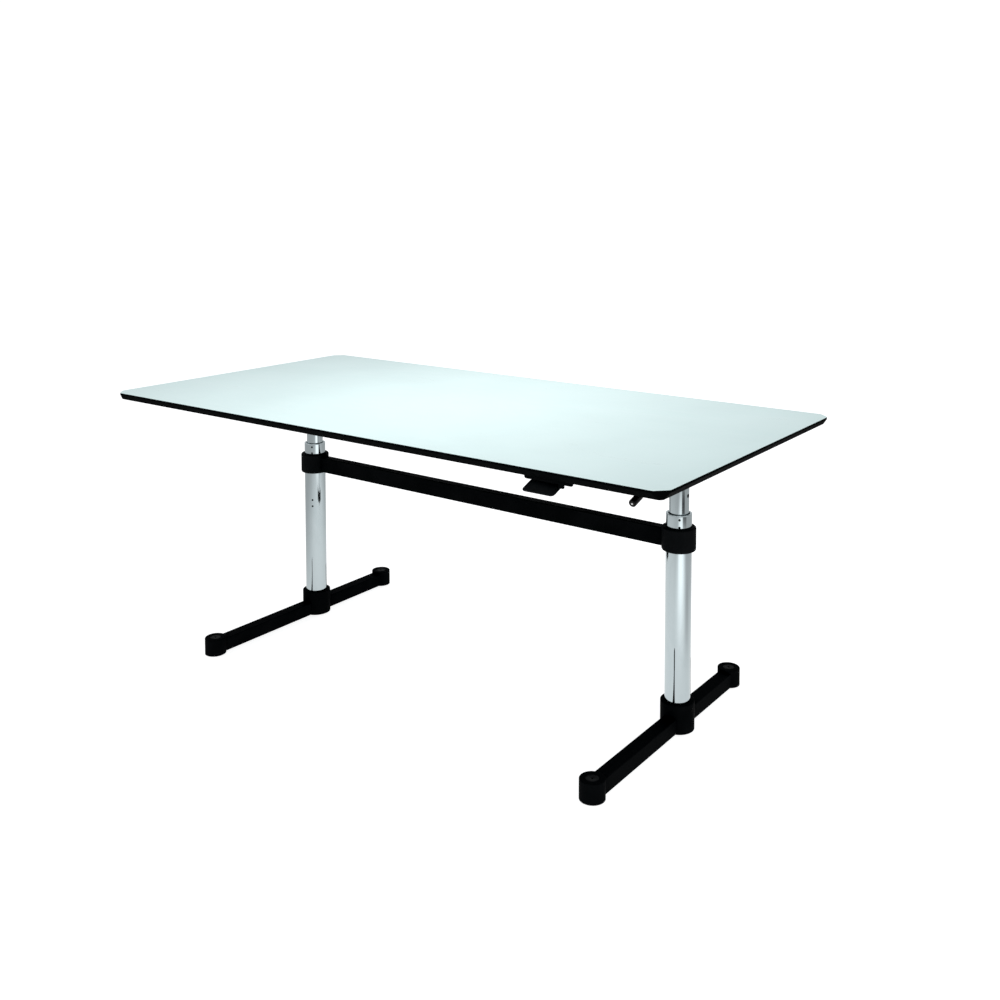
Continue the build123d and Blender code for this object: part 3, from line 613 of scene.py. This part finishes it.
# name, place, aim, width and depth in metres, power in watts and colour
SOFTBOXES = (
    ("overhead", (0.0, 0.0, 1.8), (0.0, 0.0, 0.7), 0.5, 1.3, 11.3, (1, 1, 1)),
    ("front", (3.2, -4.2, 2.6), (0.2, 0.0, 0.4), 3.0, 2.4, 45, (1, 1, 1)),
    ("side", (-4.2, -1.6, 2.4), (0.0, 0.0, 0.4), 2.6, 2.2, 25, (0.95, 0.98, 1.0)),
)


def sheet(name, cuts, size, material):
    """A flat square round the origin, reaching size metres each way."""
    mesh = bpy.data.meshes.new(name)
    shape = bmesh.new()
    bmesh.ops.create_grid(shape, x_segments=cuts, y_segments=cuts, size=size)
    shape.to_mesh(mesh)
    shape.free()
    mesh.materials.append(material)
    obj = bpy.data.objects.new(name, mesh)
    scene.collection.objects.link(obj)
    return obj


def floor():
    f = Finish("floor", specular=0.2)
    cloud = f.spread(f.noise(1.5, 3, 0.5), 0.0, 1.0)
    f.colour(f.mix(cloud, (0.46, 0.465, 0.47), (0.50, 0.503, 0.505)))
    f.roughness(f.spread(f.noise(8, 3, 0.5), 0.7, 0.8))
    f.bump(f.noise(300, 2, 0.5), 0.0002, 0.1)
    f.shader.inputs["Emission Color"].default_value = (1.0, 1.0, 1.0, 1.0)
    f.shader.inputs["Emission Strength"].default_value = FLOOR_GLOW
    sheet("floor", 4, 55, f.material)


def area_light(name, place, aim, width, depth, power, colour):
    data = bpy.data.lights.new(name, "AREA")
    data.shape = "RECTANGLE"
    data.size = width
    data.size_y = depth
    data.energy = power
    data.color = colour
    obj = bpy.data.objects.new(name, data)
    scene.collection.objects.link(obj)
    obj.location = place
    obj.rotation_mode = "QUATERNION"
    obj.rotation_quaternion = (Vector(aim) - Vector(place)).to_track_quat("-Z", "Y")
    obj.visible_camera = False


def pool(tree, place, centre, radius, strength):
    """A soft round patch of light or shade on the reflector: strength at its middle, none far away."""
    away = tree.nodes.new("ShaderNodeVectorMath")
    away.operation = "DISTANCE"
    tree.links.new(place, away.inputs[0])
    away.inputs[1].default_value = (*centre, 0)
    fall = tree.nodes.new("ShaderNodeMapRange")
    fall.interpolation_type = "SMOOTHERSTEP"
    fall.inputs["From Min"].default_value = 0.0
    fall.inputs["From Max"].default_value = radius
    fall.inputs["To Min"].default_value = strength
    fall.inputs["To Max"].default_value = 0.0
    tree.links.new(away.outputs["Value"], fall.inputs["Value"])
    return fall.outputs["Result"]


def reflector():
    """A lit card on the floor that only glossy rays see: pools of light near the table and dark flags."""
    material = bpy.data.materials.new("reflector")
    material.use_nodes = True
    tree = material.node_tree
    tree.nodes.remove(tree.nodes["Principled BSDF"])
    glow = tree.nodes.new("ShaderNodeEmission")
    place = tree.nodes.new("ShaderNodeTexCoord").outputs["Object"]
    light = CARD_LIGHT
    for centre, radius, strength in LIGHT_POOLS:
        light = math_node(tree, "ADD", light, pool(tree, place, centre, radius, strength))
    for centre, radius, depth in DARK_FLAGS:
        shade = pool(tree, place, centre, radius, depth)
        light = math_node(tree, "MULTIPLY", light, math_node(tree, "SUBTRACT", 1.0, shade))
    tree.links.new(light, glow.inputs["Strength"])
    tree.links.new(glow.outputs["Emission"], tree.nodes["Material Output"].inputs["Surface"])
    obj = sheet("reflector", 2, 9, material)
    obj.location = (0, 0, 0.0005)
    for rays in ("camera", "diffuse", "transmission", "volume_scatter", "shadow"):
        setattr(obj, f"visible_{rays}", False)


def studio_world():
    """An even white room: the camera sees pure white, and the light it gives is dimmer and cooler."""
    world = bpy.data.worlds.new("studio")
    scene.world = world
    world.use_nodes = True
    tree = world.node_tree
    room = tree.nodes["Background"]
    room.inputs["Color"].default_value = (0.96, 0.985, 1.0, 1.0)
    room.inputs["Strength"].default_value = ROOM_LIGHT
    backdrop = tree.nodes.new("ShaderNodeBackground")
    backdrop.inputs["Color"].default_value = (1.0, 1.0, 1.0, 1.0)
    backdrop.inputs["Strength"].default_value = BACKDROP_LIGHT
    ray = tree.nodes.new("ShaderNodeLightPath")
    choose = tree.nodes.new("ShaderNodeMixShader")
    tree.links.new(ray.outputs["Is Camera Ray"], choose.inputs["Fac"])
    tree.links.new(room.outputs["Background"], choose.inputs[1])
    tree.links.new(backdrop.outputs["Background"], choose.inputs[2])
    tree.links.new(choose.outputs["Shader"], tree.nodes["World Output"].inputs["Surface"])


floor()
reflector()
for softbox in SOFTBOXES:
    area_light(*softbox)
studio_world()


# ---------------------------------------------------------------- camera

# degrees below level, and degrees turned from looking along +Y
PITCH = 3.5
YAW = 36.042
BLACK_LEVEL = 0.003

camera_data = bpy.data.cameras.new("camera")
camera_data.sensor_width = 36.0
camera_data.lens = 39.032
camera_data.shift_x = -0.02
camera_data.shift_y = -0.2417
camera_data.clip_end = 200.0
camera = bpy.data.objects.new("camera", camera_data)
scene.collection.objects.link(camera)
camera.location = (1.8869, -2.2795, 1.3441)
camera.rotation_euler = (math.radians(90 - PITCH), 0, math.radians(YAW))
scene.camera = camera

scene.view_settings.view_transform = "Standard"
scene.view_settings.look = "None"
scene.view_settings.use_curve_mapping = True
scene.view_settings.curve_mapping.black_level = (BLACK_LEVEL, BLACK_LEVEL, BLACK_LEVEL)
scene.view_settings.curve_mapping.update()
